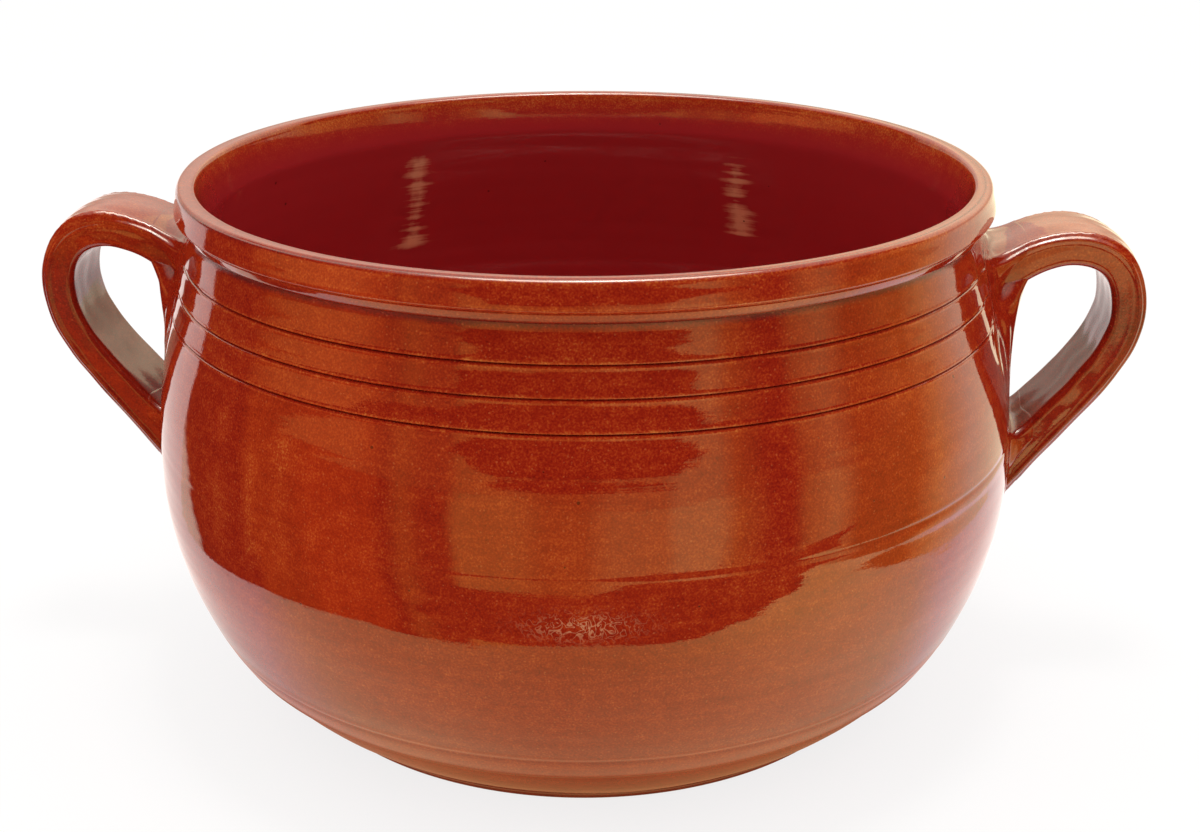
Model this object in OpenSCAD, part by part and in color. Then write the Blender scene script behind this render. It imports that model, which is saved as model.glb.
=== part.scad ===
// Glazed terracotta couscoussier: a round-bellied steamer pot with a pierced base and two strap handles.
// The pot stands on its foot, centred on the Z axis, with its handles along X.

/* [Pot] */
// Height of the pot from the foot to the top of the rim
pot_height = 200; // [185:1:240]
// Radius of the flat foot
foot_radius = 116.5; // [100:0.5:125]
// Greatest radius of the belly
belly_radius = 163; // [156:0.5:185]
// Height of the belly's widest ring above the foot
belly_height = 91; // [80:1:100]
// Radius of the neck, just under the rim's collar
neck_radius = 147.8; // [144:0.2:152]
// How long the shoulder stays full before it turns in to the neck
shoulder_power = 2.44; // [2:0.02:3.2]
// Thickness of the thrown wall
wall = 7; // [5:0.5:9]
// Thickness of the base
base_thickness = 9; // [7:0.5:14]
// Radius of the hollow between the floor and the wall
floor_fillet = 14; // [8:1:20]

/* [Rim] */
// Height of the collar round the rim
collar_height = 15.5; // [12:0.5:20]
// How far the collar stands out from the neck
collar_projection = 2.9; // [2:0.1:5]
// Width of the lip, from the mouth to the collar's face
lip_width = 8.4; // [7:0.1:10]
// Radius of the lip's outer edge
lip_outer_round = 3; // [2:0.1:3.5]
// Radius of the lip's edge at the mouth
lip_inner_round = 2.2; // [1:0.1:3]
// Height of the undercut from the collar's lower corner to the crease
collar_undercut = 3.4; // [2:0.1:5]

/* [Turned lines] */
// Depth of the first incised line below the rim
first_line_drop = 27.4; // [25:0.1:30]
// Distance from one incised line to the next
line_pitch = 10.3; // [8:0.1:14]
// Number of incised lines
line_count = 3; // [1:1:4]
// Radius of the tool that cut the lines
line_radius = 1.1; // [0.6:0.1:1.6]
// Height of the fine ring on the belly
belly_ring_height = 108; // [95:1:118]
// Radius of the tool that cut the fine ring
belly_ring_radius = 0.6; // [0.4:0.1:1]
// Height of the band that is trimmed back above the foot
foot_band_height = 25; // [18:1:32]
// Depth to which that band is trimmed back
foot_band_depth = 0.8; // [0.4:0.1:1.5]

/* [Steam holes] */
// Diameter of a steam hole
hole_diameter = 7; // [5:0.5:10]
// Distance between the rings of holes
hole_ring_pitch = 28; // [20:1:32]
// Number of rings round the middle hole
hole_rings = 3; // [1:1:3]

/* [Handles] */
// How far a handle stands out past the belly
handle_projection = 45.5; // [40:0.5:60]
// Width of the strap
strap_width = 33; // [26:0.5:38]
// Width of the strap where it meets the wall
strap_root_width = 36; // [30:0.5:42]
// Thickness of the strap at the bend
strap_thickness = 13.5; // [10:0.5:15]
// Thickness of the strap where it meets the wall
strap_root_thickness = 15.5; // [13:0.5:18]
// Depth of the upper root below the rim
upper_root_drop = 37.8; // [35:0.2:44]
// Depth of the bend's outermost point below the rim
bend_drop = 49; // [45:0.5:58]
// Depth of the lower root below the rim
lower_root_drop = 110.5; // [104:0.5:116]
// Angle at which the upper limb rises from the wall
upper_rise = 41.5; // [25:0.5:50]
// Angle at which the lower limb rises from the wall
lower_rise = 51; // [42:0.2:60]
// Length over which the upper limb holds its rise
upper_pull = 29; // [22:0.5:34]
// Length over which the bend turns down from the upper limb
bend_upper_pull = 28.5; // [22:0.1:34]
// Length over which the bend turns in to the lower limb
bend_lower_pull = 19.5; // [12:0.1:26]
// Length over which the lower limb holds its rise
lower_pull = 32; // [26:0.2:42]

/* [Luting clay] */
// Length of the strap that the clay at a root covers
luting_length = 18; // [12:0.5:20]
// How far the clay spreads on the wall past the strap
luting_spread = 6; // [4:0.5:7]
// How much further the clay runs down the wall under an upper root
upper_luting_run = 11; // [6:0.5:13]
// How much further the clay runs down the wall under a lower root
lower_luting_run = 3; // [0:0.5:6]
// Thickness of the clay where it ends on the strap
luting_edge = 0.9; // [0.7:0.1:1.5]
// How deep the edge of the clay is bedded into the curve of the wall
luting_bed = 0.7; // [0.4:0.1:1]
// Gap of the joint between two pieces of clay
joint_gap = 0.3; // [0.2:0.05:0.5]

/* [Hidden] */

glaze_brown = "#8f3416";
handle_brown = "#98401c";
luting_brown = "#83290f";

$fn = 360;
arc_steps = 14;
shoulder_steps = 16;
small_arc_steps = 6;
limb_steps = 14;
strap_sides = 24;
luting_rings = 6;
// Squareness of the strap's rounded section, where 2 is an ellipse
strap_squareness = 5.5;
// Squareness of the clay round a root, where it ends on the wall
luting_squareness = 3;
// How far a strap starts inside the wall before it is trimmed to it
root_sink = 14;
// How far the clay round a root starts inside the wall before it is trimmed to it
luting_sink = 4;

// Heights of the neck's crease and of the lower corner of the collar
neck_height = pot_height - collar_height;
collar_corner_height = neck_height + collar_undercut;
collar_radius = neck_radius + collar_projection;
mouth_radius = collar_radius - lip_width;
// Roundness of the collar's lower corner, and the angle through which it turns under
corner_round = collar_undercut / 2;
undercut_turn = 60;

// The belly below its widest ring is one arc that meets that ring upright
belly_turn_in = belly_radius - foot_radius;
belly_arc_radius = (pow(belly_turn_in, 2) + pow(belly_height, 2)) / (2 * belly_turn_in);
belly_arc_center = belly_radius - belly_arc_radius;

// Radius of the lower belly at a height, with the arc drawn in by a depth
function lower_radius(z, depth) =
    belly_arc_center + sqrt(pow(belly_arc_radius - depth, 2) - pow(belly_height - z, 2));

// Radius of the shoulder at a height: upright at the belly and again at the neck
function shoulder_radius(z) =
    let (rise = (z - belly_height) / (neck_height - belly_height))
    neck_radius + (belly_radius - neck_radius) * pow(1 - pow(rise, shoulder_power), 2);

// Outer radius of the pot's wall at a height below the collar
function wall_radius(z) =
    z < foot_band_height ? lower_radius(z, foot_band_depth)
    : z < belly_height ? lower_radius(z, 0)
    : z < neck_height ? shoulder_radius(z)
    : neck_radius;

// A point of an arc, and the points of an arc from one angle to another
function on_arc(center, radius, angle) = center + radius * [cos(angle), sin(angle)];
function arc(center, radius, from, to, steps) =
    [for (i = [0 : steps]) on_arc(center, radius, from + (to - from) * i / steps)];

// A list from its last item to its first
function reversed(items) = [for (i = [len(items) - 1 : -1 : 0]) items[i]];

// The height at which a step between two heights lies
function step_height(low, high, i, steps) = low + (high - low) * i / steps;

// Outer outline of the wall from the foot to the neck, drawn in by a depth
function outer_wall(depth) = concat(
    [for (i = [0 : small_arc_steps])
        let (z = step_height(0, foot_band_height, i, small_arc_steps))
        [lower_radius(z, foot_band_depth + depth), z]],
    [for (i = [0 : arc_steps])
        let (z = step_height(foot_band_height, belly_height, i, arc_steps))
        [lower_radius(z, depth), z]],
    [for (i = [1 : shoulder_steps])
        let (z = step_height(belly_height, neck_height, i, shoulder_steps))
        [shoulder_radius(z) - depth, z]]
);

// Outline of the collar and the lip, from the neck's crease over to the mouth
corner_center = [collar_radius - corner_round, collar_corner_height];
lip_outer_center = [collar_radius - lip_outer_round, pot_height - lip_outer_round];
lip_inner_center = [mouth_radius + lip_inner_round, pot_height - lip_inner_round];
function collar_outline() = concat(
    arc(corner_center, corner_round, -undercut_turn, 0, small_arc_steps),
    arc(lip_outer_center, lip_outer_round, 0, 90, small_arc_steps),
    arc(lip_inner_center, lip_inner_round, 90, 180, small_arc_steps)
);

// The wall's inner face stands a wall's thickness inside the outer one, and a fillet joins it to the floor
inner_arc_radius = belly_arc_radius - wall;
fillet_height = base_thickness + floor_fillet;
fillet_center = belly_arc_center
    + sqrt(pow(inner_arc_radius - floor_fillet, 2) - pow(belly_height - fillet_height, 2));
fillet_angle = atan2(fillet_height - belly_height, fillet_center - belly_arc_center);

// Inner outline of the wall from the mouth down to the floor
function inner_wall() = concat(
    [for (i = [shoulder_steps : -1 : 1])
        let (z = step_height(belly_height, neck_height, i, shoulder_steps))
        [shoulder_radius(z) - wall, z]],
    arc([belly_arc_center, belly_height], inner_arc_radius, 0, fillet_angle, arc_steps),
    arc([fillet_center, fillet_height], floor_fillet, fillet_angle, -90, small_arc_steps)
);

// The pot's solid outside, grown by a clearance, against which every joint is trimmed
module pot_outside(clearance) {
    rotate_extrude()
        polygon(concat([[0, 0]], outer_wall(-clearance), [[0, neck_height]]));
    translate([0, 0, neck_height - clearance])
        cylinder(r = collar_radius + clearance, h = collar_height + clearance);
}

// Ring-shaped cut made by a round tool at a height on the wall
module turned_line(z, tool_radius) {
    rotate_extrude()
        translate([wall_radius(z), z])
            circle(r = tool_radius, $fn = 24);
}

// Steam holes: one in the middle, and rings of six, twelve and eighteen round it
module steam_holes() {
    for (ring = [0 : hole_rings])
        for (i = [0 : max(6 * ring - 1, 0)])
            rotate(ring == 0 ? 0 : 60 * i / ring)
                translate([ring * hole_ring_pitch, 0, -base_thickness])
                    cylinder(d = hole_diameter, h = 3 * base_thickness, $fn = 24);
}

// Wheel-thrown body with its collared rim, incised lines, trimmed foot and pierced base
module thrown_body() {
    color(glaze_brown)
        difference() {
            rotate_extrude()
                polygon(concat(
                    [[0, 0]], outer_wall(0), collar_outline(), inner_wall(), [[0, base_thickness]]));
            for (i = [0 : line_count - 1])
                turned_line(pot_height - first_line_drop - i * line_pitch, line_radius);
            turned_line(belly_ring_height, belly_ring_radius);
            steam_holes();
        }
}

// Key points of the strap's centre line, in the plane of the handles: [distance from the axis, height]
upper_root_height = pot_height - upper_root_drop;
lower_root_height = pot_height - lower_root_drop;
bend_height = pot_height - bend_drop;
bend_reach = belly_radius + handle_projection - strap_thickness / 2;
upper_root = [wall_radius(upper_root_height), upper_root_height];
lower_root = [wall_radius(lower_root_height), lower_root_height];
bend = [bend_reach, bend_height];
upper_direction = [cos(upper_rise), sin(upper_rise)];
lower_direction = [cos(lower_rise), sin(lower_rise)];

// Point and direction of a smooth curve between two ends, drawn by its two pulls
function curve(p, t) =
    pow(1 - t, 3) * p[0] + 3 * pow(1 - t, 2) * t * p[1] + 3 * (1 - t) * t * t * p[2] + pow(t, 3) * p[3];
function curve_direction(p, t) =
    let (step = pow(1 - t, 2) * (p[1] - p[0]) + 2 * (1 - t) * t * (p[2] - p[1]) + t * t * (p[3] - p[2]))
    step / norm(step);

upper_limb = [upper_root, upper_root + upper_pull * upper_direction, bend + [0, bend_upper_pull], bend];
lower_limb = [bend, bend - [0, bend_lower_pull], lower_root + lower_pull * lower_direction, lower_root];

// The strap is measured by a place u along it: -1 at the upper root, 0 at the bend and 1 at the lower root.
// Past a root it runs straight on into the wall, and is sunk in full at -2 and 2.
function strap_point(u) =
    u < -1 ? upper_root + (u + 1) * root_sink * upper_direction
    : u < 0 ? curve(upper_limb, u + 1)
    : u < 1 ? curve(lower_limb, u)
    : lower_root - (u - 1) * root_sink * lower_direction;
function strap_direction(u) =
    u < -1 ? upper_direction
    : u < 0 ? curve_direction(upper_limb, u + 1)
    : u < 1 ? curve_direction(lower_limb, u)
    : -lower_direction;

// The strap swells from the bend to each root
function swell(u, middle, root) = middle + (root - middle) * pow(min(abs(u), 1), 3);
function strap_width_at(u) = swell(u, strap_width, strap_root_width);
function strap_thickness_at(u) = swell(u, strap_thickness, strap_root_thickness);

// Rounded section of a strap or of the clay round it: [across the width, through the thickness]
function section(width, thickness, squareness, a) = [
    width / 2 * sign(cos(a)) * pow(abs(cos(a)), 2 / squareness),
    thickness / 2 * sign(sin(a)) * pow(abs(sin(a)), 2 / squareness)
];

// Ring of points round a centre point, square to a direction in the plane of the handles
function ring(center, direction, width, thickness, squareness) =
    [for (k = [0 : strap_sides - 1])
        let (s = section(width, thickness, squareness, 360 * k / strap_sides))
        [center.x - direction.y * s.y, s.x, center.y + direction.x * s.y]];

// Side faces between two rings of points, given by the number of each ring's first point
function side_faces(first, second, sides) = [
    for (k = [0 : sides - 1])
        let (next = (k + 1) % sides)
        each [[first + k, second + next, first + next], [first + k, second + k, second + next]]
];

// Closed skin over a row of rings
module skin(rings) {
    sides = len(rings[0]);
    last = len(rings) - 1;
    faces = concat(
        [for (j = [0 : last - 1]) each side_faces(j * sides, (j + 1) * sides, sides)],
        [[for (k = [0 : sides - 1]) k]],
        [[for (k = [sides - 1 : -1 : 0]) last * sides + k]]
    );
    polyhedron([for (r = rings) each r], faces);
}

// Hollow sleeve between an outer row of rings and an inner one
module sleeve(outer, inner) {
    rings = concat(outer, reversed(inner));
    sides = len(rings[0]);
    count = len(rings);
    faces = [for (j = [0 : count - 1]) each side_faces(j * sides, (j + 1) % count * sides, sides)];
    polyhedron([for (r = rings) each r], faces);
}

// Direction of the strap at a place, away from the nearer root, and its angle above the level
function outward(u) = strap_direction(u) * (u < 0 ? 1 : -1);
function outward_angle(u) = atan2(outward(u).y, outward(u).x);

// Angle above the level at which the wall faces at a height
function wall_normal_angle(z) = atan2(wall_radius(z - 1) - wall_radius(z + 1), 2);

// Ring round the strap at a place, grown all round by a margin
function strap_ring(u, margin) =
    ring(
        strap_point(u),
        outward(u),
        strap_width_at(u) + 2 * margin,
        strap_thickness_at(u) + 2 * margin,
        strap_squareness
    );

// Pulled strap handle on the +X side, trimmed to the wall and to the collar above it
module handle() {
    places = concat([-2], [for (i = [-limb_steps : limb_steps]) i / limb_steps], [2]);
    difference() {
        skin([for (u = places)
            ring(
                strap_point(u),
                strap_direction(u),
                strap_width_at(u),
                strap_thickness_at(u),
                strap_squareness
            )]);
        pot_outside(joint_gap);
    }
}

// Roll of soft clay pressed round a root on the +X side: a sleeve that hollows from the strap to the wall.
// The root is at place -1 or 1, and pull is the length over which its limb holds its rise.
module luting(root, pull, run) {
    wall_angle = wall_normal_angle(strap_point(root).y);
    wall_direction = [cos(wall_angle), sin(wall_angle)];
    limb_angle = root < 0 ? upper_rise : lower_rise;
    turns = [for (i = [0 : luting_rings]) 90 * i / luting_rings];
    places = [for (turn = turns) root * (1 - luting_length * (1 - cos(turn)) / (3 * pull))];
    outer = [for (i = [0 : luting_rings])
        let (
            hollow = 1 - sin(turns[i]),
            tilt = (wall_angle - limb_angle) * (1 - pow(1 - cos(turns[i]), 2)),
            angle = outward_angle(places[i]) + tilt,
            margin = luting_edge + luting_spread * hollow,
            down = run * hollow
        )
        ring(
            strap_point(places[i]) - luting_bed * cos(turns[i]) * wall_direction - [0, down / 2],
            [cos(angle), sin(angle)],
            strap_width_at(places[i]) + 2 * margin,
            strap_thickness_at(places[i]) / cos(tilt) + 2 * margin + down,
            strap_squareness + (luting_squareness - strap_squareness) * hollow
        )];
    into_wall = -luting_sink * [wall_direction.x, 0, wall_direction.y];
    inner = [for (u = concat([2 * root], places)) strap_ring(u, joint_gap)];
    difference() {
        sleeve(concat([[for (p = outer[0]) p + into_wall]], outer), inner);
        pot_outside(joint_gap);
    }
}

module left_handle() {
    color(handle_brown)
        mirror([1, 0, 0])
            handle();
}

module right_handle() {
    color(handle_brown)
        handle();
}

module left_upper_luting() {
    color(luting_brown)
        mirror([1, 0, 0])
            luting(-1, upper_pull, upper_luting_run);
}

module left_lower_luting() {
    color(luting_brown)
        mirror([1, 0, 0])
            luting(1, lower_pull, lower_luting_run);
}

module right_upper_luting() {
    color(luting_brown)
        luting(-1, upper_pull, upper_luting_run);
}

module right_lower_luting() {
    color(luting_brown)
        luting(1, lower_pull, lower_luting_run);
}

thrown_body();
left_handle();
right_handle();
left_upper_luting();
left_lower_luting();
right_upper_luting();
right_lower_luting();
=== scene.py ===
import math

import bmesh
import bpy
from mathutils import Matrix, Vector, noise


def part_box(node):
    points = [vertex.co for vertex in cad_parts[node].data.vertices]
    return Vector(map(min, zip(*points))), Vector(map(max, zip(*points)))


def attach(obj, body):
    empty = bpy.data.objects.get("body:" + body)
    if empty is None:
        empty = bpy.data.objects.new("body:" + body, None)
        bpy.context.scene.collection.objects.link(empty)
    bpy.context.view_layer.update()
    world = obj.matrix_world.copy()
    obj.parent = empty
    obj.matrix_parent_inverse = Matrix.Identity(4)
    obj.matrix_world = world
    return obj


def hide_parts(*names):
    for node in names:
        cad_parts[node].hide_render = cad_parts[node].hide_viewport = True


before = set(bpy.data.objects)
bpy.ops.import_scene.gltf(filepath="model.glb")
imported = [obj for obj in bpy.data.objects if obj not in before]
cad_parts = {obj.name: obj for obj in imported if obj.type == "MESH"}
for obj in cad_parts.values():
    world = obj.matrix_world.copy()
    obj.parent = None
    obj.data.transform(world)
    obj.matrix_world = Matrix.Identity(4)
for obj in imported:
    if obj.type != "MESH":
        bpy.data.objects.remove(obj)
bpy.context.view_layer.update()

# Thrown body
# A round-bellied vessel of red earthenware, thrown on the wheel in one piece, with a collared rim,
# three lines cut while it turned, a trimmed foot and a base pierced with a stick for the steam.
# All sizes are in millimetres, and each mesh is brought to metres when its piece is made.
MM = 0.001
body_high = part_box("thrown_body")[1]
belly_radius = body_high.x / MM
pot_height = body_high.z / MM
belly_height = 91
foot_radius = 116.5
foot_round = 2.2
neck_radius = 147.8
neck_height = pot_height - 15.5
shoulder_power = 2.44
lean_height = 166
neck_lean = 0.23
wall = 7
base_thickness = 9
floor_fillet = 14
floor_margin = 6
underside_hollow = 0.8
hollow_flat = 40
hollow_edge = 22
foot_ring_width = 12
foot_ring_hollow = 0.1

# The rolled collar, from the crease under it over its face to the mouth: radius, and height above the crease
collar_points = [(146.3, 0.1), (147.8, 1.2), (149, 3.8), (149.05, 4.2), (149.9, 4.8), (150.6, 5.7),
                 (150.6, 6.8), (150.2, 9), (149.7, 11.5), (149.3, 13.6), (148.9, 14.7), (148.1, 15.3),
                 (146.8, 15.5), (144.4, 15.4), (143.1, 14.9), (142.5, 13.8), (142.2, 12.4)]
collar_steps = 5
lip_line_radius = 147.6
lip_line_offset = 1.4
lip_line_depth = 0.25
lip_line_width = 0.45
rim_tilt = 0.45
rim_sway = 0.12

line_heights = [172.6, 162.3, 152.0]
line_depth = 0.85
line_depth_sway = 0.12
line_width = 0.42
line_sway = 0.3
line_ripple = 0.16
line_pull_start = 5
line_pull_full = 2
burr_height = 0.1
burr_offset = 0.85
burr_width = 0.4
burr_grains = 45

foot_band_height = 25
foot_band_depth = 0.8
foot_band_edge_low = 1
foot_band_edge_high = 0.6
low_fullness = 1.2
low_fullness_width = 18
low_fullness_start = 12
low_ring_height = 35.5
low_ring_depth = 0.22
low_ring_width = 0.8
low_ring_sway = 0.4

belly_ring_height = 108
belly_ring_depth = 0.16
belly_ring_sway = 0.5
belly_ring_ripple = 0.3
# Degrees from the front: where the clay folded under the ring, and where the ring fades out
fold_bearing = 53
fold_reach = 17
faint_bearing = -62
faint_reach = 22
fold_depth = 0.3
# Sections of the ring and of the fold: height from the ring, share of the depth, and width
ring_marks = [(0, 1, 0.8), (-2.2, -0.8, 1.4), (2, -0.4, 1)]
fold_marks = [(-2.8, 1, 1.5), (-5.6, -0.6, 1.6)]

throwing_pitch = 5.4
throwing_depth = 0.035
throwing_patch = 33
inner_pitch = 9.5
inner_depth = 0.14
# The dents that the hands left: how deep, and how large the broad, the flat and the low ones are
hand_depth = 0.32
broad_dent = 52
flat_dent = 21
low_dent = (30, 7)

# Hollows that a finger wiped beside each upper root: distance from the middle, width and depth
wipe_marks = [(27, 5.5, 0.7), (34, 3.5, -0.25), (41, 5, 0.6)]
wipe_low = 132
wipe_high = 183
wipe_start = 14
wipe_end = 4
wipe_wander = 2.5
wipe_wander_size = 18
wipe_hides_line = 0.5

hole_diameter = 7
hole_ring_pitch = 28
hole_rings = 3
hole_sides = 24
# How the pushed clay rounds over below and above: radius past the hole's own, and height from the face
hole_flare_below = [(2.4, -2), (1.1, 0.55), (0.45, 1.1), (0, 2.2)]
hole_flare_above = [(0, -1.6), (0.35, -0.6), (1, -0.05), (2.4, 2)]

wall_step = 1.8
fine_step = 0.2
inner_step = 3.2
floor_step = 14
round_steps = 8
line_margin = 1.7
ring_margin = 1.6
neck_margin = 0.4
spin_steps = 264
sharp_angle = 38

belly_turn_in = belly_radius - foot_radius
belly_arc = (belly_turn_in ** 2 + belly_height ** 2) / (2 * belly_turn_in)
belly_arc_center = belly_radius - belly_arc


def smooth_step(low, high, value):
    """A soft rise from 0 at one value to 1 at another."""
    share = min(max((value - low) / (high - low), 0), 1)
    return share * share * (3 - 2 * share)


def bell(value, width):
    """A soft hump: 1 where the value is zero, and next to nothing at twice the width."""
    return math.exp(-(value / width) ** 2)


def wall_radius(z, depth=0):
    """Outer radius of the wall at a height, as the potter's rib left it, drawn in by a depth."""
    if z < belly_height:
        band_low = foot_band_height - foot_band_edge_low
        band_high = foot_band_height + foot_band_edge_high
        trim = foot_band_depth * (1 - smooth_step(band_low, band_high, z))
        full = low_fullness * bell(z - foot_band_height, low_fullness_width)
        full *= smooth_step(0, low_fullness_start, z)
        return belly_arc_center + math.sqrt((belly_arc - depth - trim) ** 2 - (belly_height - z) ** 2) + full
    rise = (min(z, lean_height) - belly_height) / (neck_height - belly_height)
    radius = neck_radius + (belly_radius - neck_radius) * (1 - rise ** shoulder_power) ** 2
    return radius - neck_lean * max(z - lean_height, 0) - depth


def between(a, b, c, d, t):
    """A value at a share t of the way from b to c, on a smooth line that comes from a and goes on to d."""
    return ((d - 3 * c + 3 * b - a) * t ** 3 + (4 * c - d - 5 * b + 2 * a) * t * t + (c - a) * t) / 2 + b


def smooth_line(points, steps):
    """A smooth line through a row of points."""
    padded = [points[0]] + points + [points[-1]]
    line = []
    for four in zip(padded, padded[1:], padded[2:], padded[3:]):
        for i in range(steps):
            line.append([between(*values, i / steps) for values in zip(*four)])
    return line + [points[-1]]


def arc(center, radius, start, end, steps):
    """Points on part of a circle, from one angle in degrees to another."""
    angles = [math.radians(start + (end - start) * i / steps) for i in range(steps + 1)]
    return [(center[0] + radius * math.cos(a), center[1] + radius * math.sin(a)) for a in angles]


def heights(low, high, step):
    """Even values from low to high, about a step apart."""
    count = max(1, round((high - low) / step))
    return [low + (high - low) * i / count for i in range(count + 1)]


def outer_heights():
    """Heights of the wall's points, close together where a tool cut the clay."""
    lines = [(z - line_margin, z + line_margin) for z in line_heights]
    ring_heights = (belly_ring_height, foot_band_height, low_ring_height)
    rings = [(z - ring_margin, z + ring_margin) for z in ring_heights]
    fine = line_heights[:]
    for z, (low, high) in zip(line_heights, lines):
        fine += heights(low, z - line_width, fine_step) + heights(z + line_width, high, fine_step)
    for low, high in rings:
        fine += heights(low, high, 2 * fine_step)
    coarse = [z for z in heights(foot_round, neck_height - neck_margin, wall_step)
              if all(z < low - fine_step or z > high + fine_step for low, high in lines + rings)]
    return sorted(fine + coarse)


def body_profile():
    """Points from the middle of the underside, up the wall, over the lip and down to the floor's middle."""
    foot_center = (wall_radius(foot_round) - foot_round, foot_round)
    underside = [(0, underside_hollow), (hollow_flat, underside_hollow)]
    underside += [(foot_radius - hollow_edge, underside_hollow * 0.8)]
    underside += [(foot_radius - foot_ring_width, foot_ring_hollow)]
    underside += arc(foot_center, foot_round, -90, -8, round_steps)
    outside = [(wall_radius(z), z) for z in outer_heights()[1:]]
    collar = [(r, neck_height + rise) for r, rise in smooth_line(collar_points, collar_steps)]
    inner_arc = belly_arc - wall
    fillet_height = base_thickness + floor_fillet
    fillet_center = belly_arc_center + math.sqrt(
        (inner_arc - floor_fillet) ** 2 - (belly_height - fillet_height) ** 2)
    fillet_angle = math.degrees(math.atan2(fillet_height - belly_height, fillet_center - belly_arc_center))
    fillet_top = fillet_height + floor_fillet * math.sin(math.radians(fillet_angle))
    inside = [(wall_radius(z, wall), z) for z in heights(fillet_top + 2, neck_height, inner_step)[::-1]]
    inside += arc((fillet_center, fillet_height), floor_fillet, fillet_angle, -90, round_steps)
    floor = [(r, base_thickness) for r in heights(0, fillet_center - floor_margin, floor_step)[::-1]]
    return underside + outside + collar + inside + floor


def line_wander(angle, i):
    """How far a turned line strays up or down, as the tool was held by hand."""
    return line_sway * math.sin(angle + 1.7 * i) + line_ripple * math.sin(3 * angle + i)


def line_cut(angle, z):
    """Depth of the sharp turned lines at a place on the wall; below zero where the tool pushed up a burr."""
    cut = 0
    for i, line in enumerate(line_heights):
        depth = line_depth * (1 + line_depth_sway * math.sin(2 * angle + 2.2 * i))
        off = z - line - line_wander(angle, i)
        grain = Vector((burr_grains * math.cos(angle), burr_grains * math.sin(angle), 3 * i))
        burr = burr_height * (0.7 + 1.1 * noise.noise(grain))
        cut += depth * max(0, 1 - abs(off) / line_width)
        cut -= burr * (bell(off - burr_offset, burr_width) + bell(off + burr_offset, burr_width))
    return cut


def belly_rings(angle, z):
    """Depth of the shallow ring round the belly, with a rough fold under it, and of the low ring."""
    off = z - belly_ring_height - belly_ring_sway * math.sin(angle) - belly_ring_ripple * math.sin(3 * angle)
    low_off = z - low_ring_height - low_ring_sway * math.sin(2 * angle + 1)
    bearing = (math.degrees(angle) + 270) % 360 - 180
    folded = bell(bearing - fold_bearing, fold_reach)
    depth = belly_ring_depth * (0.35 + 0.9 * folded) * (1 - bell(bearing - faint_bearing, faint_reach))
    rough = 0.8 + noise.noise(Vector((bearing / 2.5, z / 3, 0)))
    ring = sum(share * bell(off - place, width) for place, share, width in ring_marks)
    fold = sum(share * bell(off - place, width) for place, share, width in fold_marks)
    return low_ring_depth * bell(low_off, low_ring_width) + depth * ring - fold_depth * rough * folded * fold


def lip_line(point):
    """How near a place lies to the fine line that runs round the top of the lip, a little off centre."""
    angle = math.atan2(point.y, point.x)
    off = math.hypot(point.x, point.y) - lip_line_radius + lip_line_offset * math.cos(angle)
    return bell(off, lip_line_width) * smooth_step(pot_height - 4, pot_height - 2.5, point.z)


def hand_relief(point):
    """How far the hand-thrown wall falls short of a true round one at a point."""
    angle = math.atan2(point.y, point.x)
    dents = noise.noise(point / broad_dent)
    dents += 0.5 * noise.noise(Vector((point.x, point.y, 2 * point.z)) / flat_dent)
    dents += 0.5 * noise.noise(Vector((point.x / low_dent[0], point.y / low_dent[0], point.z / low_dent[1])))
    turn = point.z / throwing_pitch + angle / math.tau
    ring = math.sin(math.tau * turn) * (0.6 + 0.8 * noise.noise(point / throwing_patch))
    return hand_depth * (0.75 + 0.5 * dents) + throwing_depth * (1.4 + ring)


def wiped_clay(point):
    """Upright hollows that a finger wiped into the wall on both sides of each upper root."""
    if abs(point.x) < neck_radius / 2 or not wipe_low < point.z < wipe_high:
        return 0
    reach = smooth_step(wipe_low, wipe_low + wipe_start, point.z)
    reach *= 1 - smooth_step(wipe_high - wipe_end, wipe_high, point.z)
    off = abs(point.y) - wipe_wander * noise.noise(Vector((point.x, 0, point.z)) / wipe_wander_size)
    return reach * sum(depth * bell(off - place, width) for place, width, depth in wipe_marks)


def shape_by_hand(verts):
    """Press the turned lines, the throwing rings and the wobble of the wheel into the spun body."""
    for vert in verts:
        radius = math.hypot(vert.co.x, vert.co.y)
        if radius < 1:
            continue
        angle = math.atan2(vert.co.y, vert.co.x)
        z = vert.co.z
        skin = wall_radius(min(z, neck_height))
        outside = smooth_step(skin - wall + 0.5, skin - 0.5, radius)
        z += outside * sum(line_wander(angle, i) * smooth_step(line_pull_start, line_pull_full, abs(z - line))
                           for i, line in enumerate(line_heights))
        vert.co.z = z
        inset = hand_relief(vert.co) * smooth_step(0, 6, z)
        if outside > 0 and z < neck_height - 1:
            wiped = wiped_clay(vert.co)
            cut = line_cut(angle, z) * (1 - min(abs(wiped) / wipe_hides_line, 1))
            inset += outside * (wiped + cut + belly_rings(angle, z))
        if outside < 1 and base_thickness + 4 < z < neck_height:
            inset -= (1 - outside) * inner_depth * math.sin(math.tau * (z / inner_pitch - angle / math.tau))
        line = lip_line(vert.co)
        scale = (radius - inset) / radius
        vert.co.x *= scale
        vert.co.y *= scale
        if z > neck_height:
            drop = rim_tilt * (1 - math.sin(angle)) + rim_sway * (1 + math.sin(3 * angle + 2))
            vert.co.z -= drop * smooth_step(neck_height, pot_height, z) + lip_line_depth * line


def make_piece(name, shape):
    """Turn a finished shape in millimetres into a smooth-shaded piece in metres."""
    bmesh.ops.scale(shape, vec=(MM, MM, MM), verts=shape.verts)
    mesh = bpy.data.meshes.new(name)
    shape.to_mesh(mesh)
    shape.free()
    mesh.shade_smooth()
    piece = bpy.data.objects.new(name, mesh)
    bpy.context.scene.collection.objects.link(piece)
    return piece


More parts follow.
